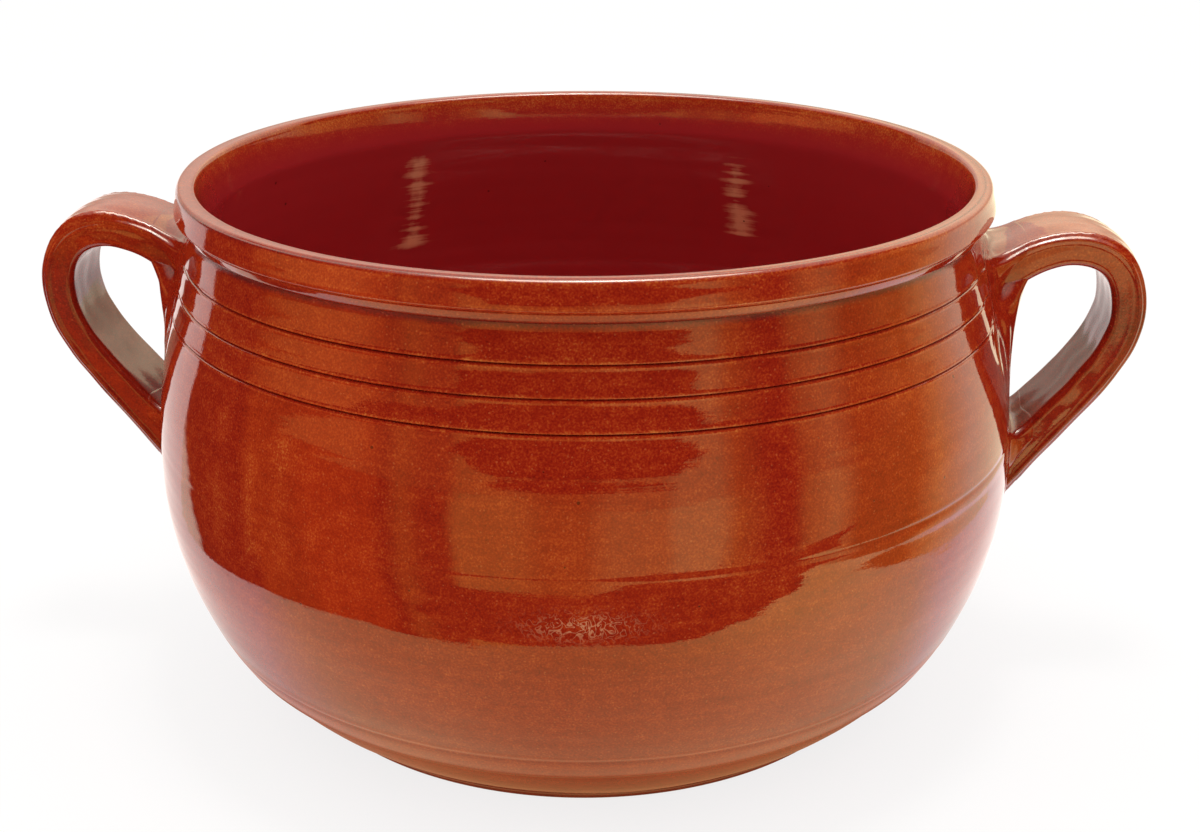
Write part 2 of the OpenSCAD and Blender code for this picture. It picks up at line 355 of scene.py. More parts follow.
def spin_profile(shape, points, steps):
    """Spin a row of points about the Z axis into a closed skin."""
    verts = [shape.verts.new((r, 0, z)) for r, z in points]
    edges = [shape.edges.new(pair) for pair in zip(verts, verts[1:])]
    bmesh.ops.spin(shape, geom=verts + edges, cent=(0, 0, 0), axis=(0, 0, 1), angle=math.tau,
                   steps=steps, use_merge=True)
    bmesh.ops.remove_doubles(shape, verts=shape.verts, dist=1e-4)
    bmesh.ops.recalc_face_normals(shape, faces=shape.faces)


def steam_hole_tool():
    """The sticks that pierce the base, in rings: each flares at both ends, as the pushed clay rounds over."""
    half = hole_diameter / 2
    stick = [(half + flare, z) for flare, z in hole_flare_below]
    stick += [(half + flare, base_thickness + z) for flare, z in hole_flare_above]
    stick = [(0, stick[0][1])] + stick + [(0, stick[-1][1])]
    tool = bmesh.new()
    spin_profile(tool, stick, hole_sides)
    one_stick = tool.verts[:] + tool.edges[:] + tool.faces[:]
    for ring in range(1, hole_rings + 1):
        for i in range(6 * ring):
            angle = math.tau * i / (6 * ring)
            copied = bmesh.ops.duplicate(tool, geom=one_stick)["geom"]
            copied_verts = [v for v in copied if isinstance(v, bmesh.types.BMVert)]
            shift = Vector((math.cos(angle), math.sin(angle), 0)) * ring * hole_ring_pitch
            bmesh.ops.translate(tool, vec=shift, verts=copied_verts)
    return make_piece("steam_hole_tool", tool)


def pierce(piece, tool):
    """Cut the tool out of a piece, and put the tool away."""
    cut = piece.modifiers.new("steam_holes", "BOOLEAN")
    cut.operation = "DIFFERENCE"
    cut.solver = "MANIFOLD"
    cut.object = tool
    solid = piece.evaluated_get(bpy.context.evaluated_depsgraph_get())
    piece.data = bpy.data.meshes.new_from_object(solid)
    piece.modifiers.clear()
    piece.data.materials.clear()
    bpy.data.objects.remove(tool)


body_shape = bmesh.new()
spin_profile(body_shape, body_profile(), spin_steps)
shape_by_hand(body_shape.verts)
thrown_body = make_piece("thrown_body_clay", body_shape)
pierce(thrown_body, steam_hole_tool())
thrown_body.data.shade_smooth()
thrown_body.data.set_sharp_from_angle(angle=math.radians(sharp_angle))

# How thick the glaze lies, as a share: deep in a cut and in the crease under the collar, thin on a burr
cut_glaze = 0.8
burr_glaze = 4
crease_width = 1.2
lip_line_glaze = 0.9
# Edges of the collar where it is thin: share, radii at which that starts and is full, height and width
thin_edges = [(0.35, 147, 149, 198, 1.2), (0.5, 143.5, 141.5, 198, 3),
              (0.3, 148.5, 149.5, neck_height + 4.8, 0.8)]
# Upright streaks where it ran thin: degrees from the front, then lowest and highest point
thin_runs = [(-45, 88, 146), (-38, 92, 140), (-33, 90, 146), (-27.5, 96, 128)]
thin_run_share = 0.4
thin_run_width = 3.6
thin_run_sway = 1.5
# A patch on the belly where the glaze crawled and set rough: degrees from the front, height, half sizes
crawl_bearing = 4.4
crawl_height = 92.5
crawl_half_width = 15
crawl_half_height = 4
# Pale upright streaks on the inner wall, a painted reflection: degrees from the back, then lowest and highest
# point
inner_painted_reflections = [(-36.5, 128, 182), (23.5, 131, 177)]
reflection_streak_half_width = 8
reflection_streak_sway = 2.5
# The red lining ends at this radius on the lip, and fades out over these depths below the rim
lining_radius = 145
lining_fade_end = 1
lining_fade_start = 10


def store(piece, name, value_at):
    """Keep a value at each point of a piece, worked out from the point's place in millimetres."""
    values = piece.data.attributes.new(name, "FLOAT", "POINT")
    for i, vert in enumerate(piece.data.vertices):
        values.data[i].value = value_at(vert.co / MM)


def is_inside(point):
    """Whether a point lies well within the wall's outer skin."""
    return math.hypot(point.x, point.y) < wall_radius(min(max(point.z, 1), neck_height)) - 3


def body_glaze_depth(point):
    """Thick in the cut lines and in the crease under the collar, thin on burrs, runs and the lip's edges."""
    radius = math.hypot(point.x, point.y)
    angle = math.atan2(point.y, point.x)
    z = point.z
    crease = bell(z - neck_height, crease_width) * smooth_step(140, 147, radius)
    if is_inside(point) or z > neck_height:
        edges = sum(share * smooth_step(start, full, radius) * bell(z - height, width)
                    for share, start, full, height, width in thin_edges)
        return crease + lip_line_glaze * lip_line(point) - edges
    bearing = math.degrees(angle) + 90
    runs = 0
    for place, low, high in thin_runs:
        sideways = math.radians(bearing - place) * radius
        sideways += thin_run_sway * noise.noise(Vector((0, place, z / 14)))
        reach = smooth_step(low - 6, low + 10, z) * smooth_step(high + 4, high - 12, z)
        runs += bell(sideways, thin_run_width) * reach * (0.6 + noise.noise(Vector((place, z / 11, 0))))
    cut = line_cut(angle, z)
    return crease + (cut_glaze if cut > 0 else burr_glaze) * cut - thin_run_share * runs


def crawled_glaze(point):
    """Share of the patch where the glaze crawled."""
    if point.y > 0:
        return 0
    bearing = math.degrees(math.atan2(point.y, point.x)) + 90
    sideways = math.radians(bearing - crawl_bearing) * belly_radius
    return bell(sideways, crawl_half_width) * bell(point.z - crawl_height, crawl_half_height)


def lining(point):
    """Share of the deep red lining, which fades out towards the lip."""
    on_lip = point.z > neck_height and math.hypot(point.x, point.y) < lining_radius
    if not is_inside(point) and not on_lip:
        return 0
    return smooth_step(pot_height - lining_fade_end, pot_height - lining_fade_start, point.z)


def painted_inner_reflection(point):
    """Share of the painted reflection, pale streaks on the back of the inner wall."""
    if point.y < 0 or not is_inside(point):
        return 0
    bearing = math.degrees(math.atan2(point.x, point.y))
    radius = math.hypot(point.x, point.y)
    reflection_streak = 0
    for place, low, high in inner_painted_reflections:
        sideways = math.radians(bearing - place) * radius
        sideways += reflection_streak_sway * noise.noise(Vector((point.z / 9, place, 0)))
        reach = smooth_step(low, low + 5, point.z) * smooth_step(high, high - 9, point.z)
        reflection_streak += bell(sideways, reflection_streak_half_width) * reach
    return min(reflection_streak, 1)


store(thrown_body, "glaze_depth", body_glaze_depth)
store(thrown_body, "glaze_inside", lining)
# The pale streaks inside are a painted reflection
store(thrown_body, "painted_reflection", painted_inner_reflection)
store(thrown_body, "glaze_crawl", crawled_glaze)

# Sizes in millimetres of the glaze's patterns along X, Y and Z, and how finely each breaks up. Grit that
# is finer than this would not show in the render.
glaze_patterns = {
    "clouds": ((46, 46, 26), 3),
    "runs": ((7, 7, 110), 2),
    "rings": ((160, 160, 2.4), 3),
    "mottle": ((5, 5, 3.5), 3),
    "grit": ((0.7, 0.7, 0.7), 1),
    "orange_peel": ((2.4, 2.4, 2.4), 2),
}
grain_spacing = 1.2
curl_size = 3.4
pinhole_spacing = 13
# How far each stands out, in millimetres
ring_relief = 0.016
mottle_relief = 0.016
grit_relief = 0.006
tooled_grit_relief = 0.03
peel_relief = 0.01
tooled_peel_relief = 0.08
crawl_relief = 0.2
pinhole_depth = 0.1
# Colours of the glaze from thin to thick, and of what lies in it
glaze_colors = [(0, "#c2682d"), (0.28, "#aa3816"), (0.5, "#97230f"), (0.72, "#871a0d"), (1, "#66120c")]
lining_color = "#a32628"
painted_reflection_color = "#d89a70"
# Colour of the painted reflection streaks on the inner wall
grain_color = "#c8683a"
crawl_color = "#c98560"
pinhole_color = "#3a0c06"
glaze_ior = 1.55


def hex_color(code):
    """A colour from its sRGB hex code, in linear light."""
    shares = [int(code[i:i + 2], 16) / 255 for i in (1, 3, 5)]
    return [s / 12.92 if s <= 0.04045 else ((s + 0.055) / 1.055) ** 2.4 for s in shares] + [1]


def add_node(tree, kind, inputs=None, stops=(), **settings):
    """Add a shader node with its settings and, on a ramp, its stops, each a place and a colour. An input is
    set to a value, or linked to a socket or to a node's first output."""
    node = tree.nodes.new("ShaderNode" + kind)
    for name, value in settings.items():
        setattr(node, name, value)
    for i, (position, color) in enumerate(stops):
        marks = node.color_ramp.elements
        stop = marks[i] if i < 2 else marks.new(position)
        stop.position = position
        stop.color = color
    for name, value in (inputs or {}).items():
        if isinstance(value, bpy.types.Node):
            value = value.outputs[0]
        if isinstance(value, bpy.types.NodeSocket):
            tree.links.new(value, node.inputs[name])
        else:
            node.inputs[name].default_value = value
    return node


def new_material(name):
    """A material without any nodes yet."""
    material = bpy.data.materials.new(name)
    material.use_nodes = True
    material.node_tree.nodes.clear()
    return material


def honey_glaze(name, run_share):
    """Clear honey-coloured lead glaze fired over red earthenware: amber where it is thin, red brown where
    it pooled and where its depth carries painted shade, glassy, with runs down the wall, rings from the
    wheel, grit from the clay and pinholes."""
    material = new_material(name)
    tree = material.node_tree
    place = add_node(tree, "TexCoord").outputs["Object"]
    patterns = {}
    for label, (size, detail) in glaze_patterns.items():
        spread = add_node(tree, "Mapping", {"Vector": place, "Scale": [1 / (s * MM) for s in size]})
        patterns[label] = add_node(tree, "TexNoise", {"Vector": spread, "Scale": 1, "Detail": detail})
    # Depth of the glaze, which on the straps also carries painted shade about the bend
    depth_and_shade = add_node(tree, "Attribute", attribute_name="glaze_depth").outputs["Fac"]
    inside = add_node(tree, "Attribute", attribute_name="glaze_inside").outputs["Fac"]
    crawl = add_node(tree, "Attribute", attribute_name="glaze_crawl").outputs["Fac"]
    # Share of the painted reflection streaks on the inner wall
    reflection_streak = add_node(tree, "Attribute", attribute_name="painted_reflection").outputs["Fac"]

    # Amber to red brown by the depth of the glaze, which on the straps also carries painted shade and which
    # each pattern varies, with the red lining inside
    shares = {"clouds": 0.35, "runs": run_share, "rings": 0.3, "mottle": 0.45, "grit": 0.9}
    middle = 0.5 - sum(shares.values()) / 2
    depth = add_node(tree, "Math", {0: depth_and_shade, 1: 0.55, 2: middle}, operation="MULTIPLY_ADD")
    for label, share in shares.items():
        depth = add_node(tree, "Math", {0: patterns[label], 1: share, 2: depth}, operation="MULTIPLY_ADD")
    color = add_node(tree, "ValToRGB", {"Fac": depth}, [(at, hex_color(code)) for at, code in glaze_colors])
    lined = add_node(tree, "Mix", {0: inside, 6: color, 7: hex_color(lining_color)}, data_type="RGBA")

    # Painted reflection: pale streaks on the inner wall, broken by the throwing rings
    broken = add_node(tree, "Math", {0: patterns["rings"], 1: 2.2, 2: reflection_streak}, operation="MULTIPLY_ADD")
    broken = add_node(tree, "Math", {0: patterns["mottle"], 1: 0.8, 2: broken}, operation="MULTIPLY_ADD")
    marks = add_node(tree, "MapRange", {"Value": broken, "From Min": 2.1, "From Max": 2.6})
    reflection_marks = add_node(tree, "Math", {0: marks, 1: reflection_streak}, operation="MULTIPLY")
    with_painted_reflection = add_node(tree, "Mix", {0: reflection_marks, 6: lined.outputs[2], 7: hex_color(painted_reflection_color)},
                       data_type="RGBA")

    # Grains of sand in the clay, which show outside only
    grains = add_node(tree, "TexVoronoi", {"Vector": place, "Scale": 1 / (grain_spacing * MM)}, feature="F1")
    chance = add_node(tree, "SeparateColor", {"Color": grains.outputs["Color"]})
    grain_size = add_node(tree, "MapRange", {"Value": chance, "From Min": 0.5, "From Max": 1, "To Max": 0.3})
    grain = add_node(tree, "Math", {0: grains.outputs["Distance"], 1: grain_size}, operation="LESS_THAN")
    bare = add_node(tree, "Math", {0: inside, 1: -0.32, 2: 0.32}, operation="MULTIPLY_ADD")
    grain_share = add_node(tree, "Math", {0: grain, 1: bare}, operation="MULTIPLY")
    grained = add_node(tree, "Mix", {0: grain_share, 6: with_painted_reflection.outputs[2], 7: hex_color(grain_color)},
                       data_type="RGBA")

    # Curled pale lines where the glaze crawled
    curl = add_node(tree, "TexNoise", {"Vector": place, "Scale": 1 / (curl_size * MM), "Detail": 1,
                                       "Distortion": 1.6})
    off_curl = add_node(tree, "Math", {0: curl, 1: 0.5}, operation="SUBTRACT")
    curl_gap = add_node(tree, "Math", {0: off_curl}, operation="ABSOLUTE")
    curl_line = add_node(tree, "MapRange", {"Value": curl_gap, "From Min": 0.05, "From Max": 0.015})
    curled = add_node(tree, "Math", {0: curl_line, 1: crawl}, operation="MULTIPLY")
    crept = add_node(tree, "Mix", {0: curled, 6: grained.outputs[2], 7: hex_color(crawl_color)},
                     data_type="RGBA")

    # Dark pinholes, of chance sizes
    cells = add_node(tree, "TexVoronoi", {"Vector": place, "Scale": 1 / (pinhole_spacing * MM)}, feature="F1")
    cell_chance = add_node(tree, "SeparateColor", {"Color": cells.outputs["Color"]})
    hole_size = add_node(tree, "Math", {0: cell_chance, 1: 0.05}, operation="MULTIPLY")
    pinhole = add_node(tree, "Math", {0: cells.outputs["Distance"], 1: hole_size}, operation="LESS_THAN")
    hole_share = add_node(tree, "Math", {0: pinhole, 1: 0.7}, operation="MULTIPLY")
    spotted = add_node(tree, "Mix", {0: hole_share, 6: crept.outputs[2], 7: hex_color(pinhole_color)},
                       data_type="RGBA")

    # Relief, which is coarser where a tool or the crawling roughened the skin
    tooled = add_node(tree, "Math", {0: depth_and_shade}, operation="ABSOLUTE")
    peel = add_node(tree, "Math", {0: tooled, 1: tooled_peel_relief, 2: peel_relief},
                    operation="MULTIPLY_ADD")
    peel = add_node(tree, "Math", {0: crawl, 1: crawl_relief, 2: peel}, operation="MULTIPLY_ADD")
    grit = add_node(tree, "Math", {0: tooled, 1: tooled_grit_relief, 2: grit_relief},
                    operation="MULTIPLY_ADD")
    height = add_node(tree, "Math", {0: patterns["orange_peel"], 1: peel}, operation="MULTIPLY")
    for label, relief in {"rings": ring_relief, "mottle": mottle_relief, "grit": grit}.items():
        height = add_node(tree, "Math", {0: patterns[label], 1: relief, 2: height}, operation="MULTIPLY_ADD")
    height = add_node(tree, "Math", {0: pinhole, 1: -pinhole_depth, 2: height}, operation="MULTIPLY_ADD")
    bump = add_node(tree, "Bump", {"Height": height, "Strength": 1, "Distance": MM})

    # Glassy, and duller down in the cuts
    sunk = add_node(tree, "Math", {0: depth_and_shade, 1: 0}, operation="MAXIMUM")
    dull = add_node(tree, "Math", {0: sunk, 1: 0.25, 2: 0.01}, operation="MULTIPLY_ADD")
    shine = add_node(tree, "Math", {0: patterns["grit"], 1: 0.06, 2: dull}, operation="MULTIPLY_ADD")
    glaze = add_node(tree, "BsdfPrincipled", {"Base Color": spotted.outputs[2], "Roughness": shine,
                                              "IOR": glaze_ior, "Normal": bump})
    add_node(tree, "OutputMaterial", {"Surface": glaze})
    return material


bare_height = 1.2
clay_dust_size = 9
wire_arc_pitch = 3.2 * math.tau
wire_arc_shift = (190, 50, 0)
wire_arc_relief = 0.12
clay_colors = [(0.3, "#a2532f"), (0.7, "#c07a50")]
# A wave texture of scale 1 runs through this many radians in a metre
wave_radians = 20


def bare_terracotta():
    """Fired red clay without glaze on the underside: matte and dusty, with the arcs of the wire that cut
    it free."""
    material = new_material("bare_terracotta")
    tree = material.node_tree
    place = add_node(tree, "TexCoord").outputs["Object"]
    dust = add_node(tree, "TexNoise", {"Vector": place, "Scale": 1 / (clay_dust_size * MM), "Detail": 5})
    aside = add_node(tree, "Mapping", {"Vector": place, "Location": [s * MM for s in wire_arc_shift]})
    wave_scale = math.tau / (wave_radians * wire_arc_pitch * MM)
    arcs = add_node(tree, "TexWave", {"Vector": aside, "Scale": wave_scale, "Distortion": 1.5, "Detail": 2},
                    wave_type="RINGS", rings_direction="Z")
    color = add_node(tree, "ValToRGB", {"Fac": dust}, [(at, hex_color(code)) for at, code in clay_colors])
    height = add_node(tree, "Math", {0: arcs, 1: wire_arc_relief, 2: dust}, operation="MULTIPLY_ADD")
    bump = add_node(tree, "Bump", {"Height": height, "Strength": 0.8, "Distance": MM})
    clay = add_node(tree, "BsdfPrincipled", {"Base Color": color, "Roughness": 0.85, "Normal": bump})
    add_node(tree, "OutputMaterial", {"Surface": clay})
    return material


thrown_body.data.materials.append(honey_glaze("honey_glaze_thrown", 0.14))
thrown_body.data.materials.append(bare_terracotta())
for face in thrown_body.data.polygons:
    face.material_index = int(face.center.z < bare_height * MM and face.normal.z < -0.8)
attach(thrown_body, "root")
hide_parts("thrown_body")

# Strap handles
# Two straps pulled from a lump of the same clay, bent into an ear and stuck on while soft. The pulling
# hand left a bead along both edges of the outer face, a crowned back and long shallow grooves.
handle_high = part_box("right_handle")[1]
strap_width = 33
strap_root_width = 36
strap_thickness = 13.5
strap_root_thickness = 15.5
edge_round = 3
crown = 1.2
upper_root_height = 162.2
lower_root_height = 89.5
bend_height = 151
upper_root = Vector((wall_radius(upper_root_height), upper_root_height))
lower_root = Vector((wall_radius(lower_root_height), lower_root_height))
bend = Vector((handle_high.x / MM - strap_thickness / 2, bend_height))
upper_rise = math.radians(41.5)
lower_rise = math.radians(51)
upper_way = Vector((math.cos(upper_rise), math.sin(upper_rise)))
lower_way = Vector((math.cos(lower_rise), math.sin(lower_rise)))
upper_pull, bend_upper_pull, bend_lower_pull, lower_pull = 29, 28.5, 19.5, 32
upper_limb = [upper_root, upper_root + upper_pull * upper_way, bend + Vector((0, bend_upper_pull)), bend]
lower_limb = [bend, bend - Vector((0, bend_lower_pull)), lower_root + lower_pull * lower_way, lower_root]
run_in = 14
root_sink = 2.5
bead_height = 0.45
bead_spacing = 3.2
bead_place = 1.3
bead_width = 0.8
# Hollows and a second bead beside the first: distance from the rounded edge's middle, height and width
edge_marks = [(-0.7, -0.3, 0.9), (-2.9, 0.5, 0.8), (-5, -0.12, 1.2)]
skin_wobble = 0.25
pulled_groove = 0.22
pulled_groove_spacing = 8.5
inner_groove = 0.05
inner_groove_spacing = 10
limb_length = 75
strap_rows = 150
strap_columns = 144
# Each strap's side and the seed of its chance marks, then by seed how far the clay is proud over its top
sides = {"left": (-1, 20), "right": (1, 0)}
strap_swells = {20: 1.7, 0: 0.2}


def curve_point(pulls, t):
    """Point of a cubic curve at a share of the way along it."""
    a, b, c, d = pulls
    return (1 - t) ** 3 * a + 3 * (1 - t) ** 2 * t * b + 3 * (1 - t) * t * t * c + t ** 3 * d


def curve_way(pulls, t):
    """Direction of a cubic curve at a share of the way."""
    a, b, c, d = pulls
    return ((1 - t) ** 2 * (b - a) + 2 * (1 - t) * t * (c - b) + t * t * (d - c)).normalized()


def strap_line(u):
    """Point and direction of the strap's middle, from -1 at the upper root over 0 at the bend to 1."""
    if u < -1:
        return upper_root + (u + 1) * run_in * upper_way, upper_way
    if u > 1:
        return lower_root - (u - 1) * run_in * lower_way, -lower_way
    limb, t = (upper_limb, u + 1) if u < 0 else (lower_limb, u)
    return curve_point(limb, t), curve_way(limb, t)


def strap_section(width, thickness, turn):
    """Place on the strap's rounded section at a turn round it, the way the skin faces there, and how far
    the place lies from the middle of the nearest rounded edge, above zero towards the broad face."""
    side = 1 if math.cos(turn) >= 0 else -1
    face = 1 if math.sin(turn) >= 0 else -1
    flat_side = thickness / 2 - edge_round
    flat_face = width / 2 - edge_round
    rounded = edge_round * math.pi / 2
    share = math.atan2(abs(math.sin(turn)), abs(math.cos(turn))) / (math.pi / 2)
    along = share * (flat_side + rounded + flat_face)
    lean = min(max((along - flat_side) / edge_round, 0), math.pi / 2)
    across = flat_face + edge_round * math.cos(lean) - max(along - flat_side - rounded, 0)
    through = min(along, flat_side) + edge_round * math.sin(lean)
    facing = Vector((side * math.cos(lean), face * math.sin(lean)))
    return side * across, face * through, facing, along - flat_side - rounded / 2


def strap_point(u, turn, seed=0, grow=0):
    """Point of the strap's skin at a place along it and a turn round it, on the right of the pot."""
    center, way = strap_line(u)
    swell = min(abs(u), 1) ** 3
    width = strap_width + (strap_root_width - strap_width) * swell
    thickness = strap_thickness + (strap_root_thickness - strap_thickness) * swell
    across, through, facing, edge = strap_section(width, thickness, turn)
    grain = noise.noise(Vector((7 * u + seed, 0.05 * across, 1.5 * math.sin(turn))))
    lift = grow - skin_wobble * (1 + grain)
    if facing.y > 0 or (through > 0 and edge < 0):
        lift += strap_swells[seed] * max(facing.y, 0) * bell(u + 0.48, 0.21)
        beads = math.sin(math.tau * u * limb_length / bead_spacing + 5 * grain)
        beading = bead_height * (0.75 + 0.4 * bell(u + 0.55, 0.3) * beads)
        lift += beading * bell(edge - bead_place, bead_width)
        lift += sum(height * bell(edge - off, width) for off, height, width in edge_marks)
        groove = pulled_groove * bell(u - 0.15, 0.5)
        lift -= facing.y * groove * math.cos(math.tau * (across + 0.2 * seed) / pulled_groove_spacing)
        through -= crown * facing.y * (2 * across / width) ** 2
    else:
        wave = math.tau * (across - 0.1 * seed) / inner_groove_spacing + 2 * grain
        lift -= inner_groove * -facing.y * math.cos(wave)
    across += lift * facing.x
    through += lift * facing.y
    return Vector((center.x - way.y * through, across, center.y + way.x * through))


def depth_in_wall(point):
    """How deep a point lies inside the wall's outer skin."""
    return wall_radius(min(max(point.z, 1), neck_height)) - math.hypot(point.x, point.y)


def meeting_place(turn, seed, root, depth):
    """Place along the strap at which its skin lies a depth inside the wall, near one root."""
    inner, outer = root * 2.2, root * 0.45
    for _ in range(40):
        middle = (inner + outer) / 2
        if depth_in_wall(strap_point(middle, turn, seed)) > depth:
            inner = middle
        else:
            outer = middle
    return (inner + outer) / 2


def make_tube(name, side, rows, columns, place, ring=False):
    """Roll a flat grid into a tube on the right or left of the pot: place gives the point at a row and a
    turn. A plain tube gets end caps, and a ring's last row joins its first."""
    shape = bmesh.new()
    bmesh.ops.create_grid(shape, x_segments=rows, y_segments=columns, size=0.5)
    for vert in shape.verts:
        column = round(columns * (vert.co.y + 0.5)) % columns
        vert.co = place(round(rows * (vert.co.x + 0.5)), math.tau * column / columns)
    bmesh.ops.remove_doubles(shape, verts=shape.verts, dist=1e-4)
    if not ring:
        bmesh.ops.holes_fill(shape, edges=[e for e in shape.edges if e.is_boundary])
    bmesh.ops.scale(shape, vec=(side, 1, 1), verts=shape.verts)
    bmesh.ops.recalc_face_normals(shape, faces=shape.faces)
    return make_piece(name, shape)


def make_strap(name, side, seed):
    """A strap from root to root, with both ends sunk a little way into the wall."""
    ends = {}

    def place(row, turn):
        if turn not in ends:
            ends[turn] = [meeting_place(turn, seed, root, root_sink) for root in (-1, 1)]
        start, end = ends[turn]
        return strap_point(start + (end - start) * row / strap_rows, turn, seed)

    return make_tube(name, side, strap_rows, strap_columns, place)


def strap_depth_and_bend_shade(point):
    """Darker about the bend, which is painted shade, and lighter towards the top."""
    # Painted shade: the hump about the bend darkens the strap's sides there
    return 0.25 + 0.3 * bell(point.z - 148, 15) - 0.45 * smooth_step(150, 184, point.z)


strap_glaze = honey_glaze("honey_glaze_pulled", 0.05)
for side_name, (side, seed) in sides.items():
    strap = make_strap(f"{side_name}_handle_strap", side, seed)
    store(strap, "glaze_depth", strap_depth_and_bend_shade)
    strap.data.materials.append(strap_glaze)
    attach(strap, "root")
    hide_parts(f"{side_name}_handle")

# Lutings
# Rolls of the same soft clay, pressed round each root of a strap and wiped out on to the wall with a
# finger, which leaves a hollow fillet with upright flutes. Fired, they are one with pot and strap.
luting_sink = 1.2
skin_rise = 0.03
tuck_length = 2
tuck_depth = 0.7
corner_depth = 1.5
flute_width = 6.5
flute_depth = 0.4
flute_wander = 1.2
flute_wander_size = 9
luting_rows = 30
luting_columns = 160
luting_glaze_depth = 0.12
# For the upper root, -1, and the lower one, 1, at the top, at the sides and underneath: length on the strap,
# reach on the wall, and how far the clay fills the corner, from none to all the way to a flat bevel
luting_covers = {-1: (15, 15, 42), 1: (9, 14, 18)}
luting_spreads = {-1: (9, 15, 46), 1: (7, 11, 12)}
luting_fills = {-1: (0.05, 0.15, 0.45), 1: (0, 0, 0.1)}


def on_wall(angle, z, sink):
    """Point on the hand-thrown wall, sunk into it by a depth."""
    height = min(max(z, 1), neck_height - 0.6)
    radius = wall_radius(height)
    point = Vector((radius * math.cos(angle), radius * math.sin(angle), height))
    inset = hand_relief(point) + sink
    return Vector((point.x - inset * math.cos(angle), point.y - inset * math.sin(angle), height))


def luting_spoke(root, turn, seed):
    """Points of the clay at one turn round the strap: sunk into the strap, on it, in the corner, on the wall,
    sunk into the wall, and deep in the corner."""
    center = strap_line(root)[0]
    meet = meeting_place(turn, seed, root, 0)
    corner = strap_point(meet, turn, seed)
    angle = math.atan2(corner.y, corner.x)
    away = Vector((angle * corner.xy.length, corner.z - center.y)).normalized()
    if root < 0:
        under = smooth_step(0.1, 0.5, -away.y)
        away = away.lerp(Vector((0.35 * away.x, -1)), under).normalized()
    weights = (max(away.y, 0) ** 2, away.x ** 2, max(-away.y, 0) ** 2)
    cover = sum(w * c for w, c in zip(weights, luting_covers[root]))
    spread = sum(w * s for w, s in zip(weights, luting_spreads[root]))
    fill = sum(w * f for w, f in zip(weights, luting_fills[root]))
    per_place = 3 * (upper_pull if root < 0 else lower_pull)
    strap_end = strap_point(meet - root * cover / per_place, turn, seed, skin_rise)
    strap_sunk = strap_point(meet - root * (cover + tuck_length) / per_place, turn, seed, -tuck_depth)
    turned = angle + away.x * spread / corner.xy.length
    wall_end = on_wall(turned, corner.z + away.y * spread, -skin_rise)
    tucked = turned + tuck_length * away.x / corner.xy.length
    wall_sunk = on_wall(tucked, corner.z + away.y * (spread + tuck_length), luting_sink)
    deep = strap_point(meet, turn, seed, -corner_depth) - Vector((corner_depth, 0, 0))
    return strap_sunk, strap_end, corner.lerp((strap_end + wall_end) / 2, fill), wall_end, wall_sunk, deep


def make_luting(name, side, seed, root):
    """A ring of clay round one root: a hollow fillet with flutes outside, and three rows buried behind it."""
    spokes = {}

    def place(row, turn):
        if turn not in spokes:
            spokes[turn] = luting_spoke(root, turn, seed)
        strap_sunk, strap_end, corner, wall_end, wall_sunk, deep = spokes[turn]
        buried = {0: strap_sunk, luting_rows: strap_sunk, luting_rows - 1: deep, luting_rows - 2: wall_sunk}
        if row in buried:
            return buried[row]
        t = (row - 1) / (luting_rows - 4)
        point = (1 - t) ** 2 * strap_end + 2 * (1 - t) * t * corner + t * t * wall_end
        wander = flute_wander * noise.noise(point / flute_wander_size)
        wave = math.cos(math.tau * (point.y + wander) / flute_width + seed)
        flute = flute_depth * math.sin(math.pi * t) * wave * smooth_step(14, 19, abs(point.y))
        return point + Vector((flute, 0, 0))

    return make_tube(name, side, luting_rows, luting_columns, place, ring=True)


luting_glaze = honey_glaze("honey_glaze_luted", 0.15)
for side_name, (side, seed) in sides.items():
    for root_name, root in (("upper", -1), ("lower", 1)):
        node_name = f"{side_name}_{root_name}_luting"
        clay = make_luting(node_name + "_clay", side, seed, root)
        store(clay, "glaze_depth", lambda point: luting_glaze_depth)
        clay.data.materials.append(luting_glaze)
        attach(clay, "root")
        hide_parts(node_name)

# Floor, light and camera
# A pale floor in a white studio, with soft light from all round and a small lamp overhead. The glaze also
# mirrors the room beyond. To reflections only, the floor glows with a painted reflection of a sheet of paper
# under the pot, which ends a little way in front of it, and of that room.
floor_half_size = 6000
floor_color = "#f6f4f1"
white = "#ffffff"
room_strength = 2
ceiling_strength = 20
ceiling_color = "#d3d3c4"
# The way from the pot to the camera, seen from above
camera_side = (0.08, -1, 0)
# Straight edges on the floor: how far each moves along Y for a step along X, and its place on Y at X zero
floor_edges = {
    "front of the paper": (0.09, -281),
    "left of the paper, front part": (-0.33, -290),
    "left of the paper, middle part": (-1.4, -478),
    "left of the paper, back part": (-5, -1380),
    "left corner of the paper": (-0.47, -85),
    "front of the gap, left part": (-0.5, -385),
    "front of the gap, right part": (0.6, -552),
    "tints on the left": (-0.22, 0),
    "tints on the right": (-0.12, 0),
}
paper_right = 318
gap_left = -160
gap_front = -400
# Colour of the gap in front of the paper, part of the floor's painted reflection
painted_gap_color = "#6a3212"
paper_power = 1.4
# How bright the paper in front of the pot is, from left to right: place along X, and share
paper_lights = [(-400, 0.53), (-300, 0.53), (-200, 0.6), (-100, 0.58), (0, 0.47), (60, 0.55), (140, 0.78),
                (220, 0.95), (400, 1)]
paper_half_width = 400
# How bright it is beside the pot, from one place along X to another
side_from, side_to = 150, 250
side_light_from, side_light_to = 0.53, 0.66
# Where the light in front of the pot takes over, along Y
front_from, front_to = -80, -160
# Tints of the paper, from one place along Y to another: share of the way, and colour
tint_from, tint_to = -260, -60
paper_tints = [(0, "#ffe78e"), (0.45, "#ffe8a6"), (0.75, "#fff7c8"), (1, "#fff6f2")]
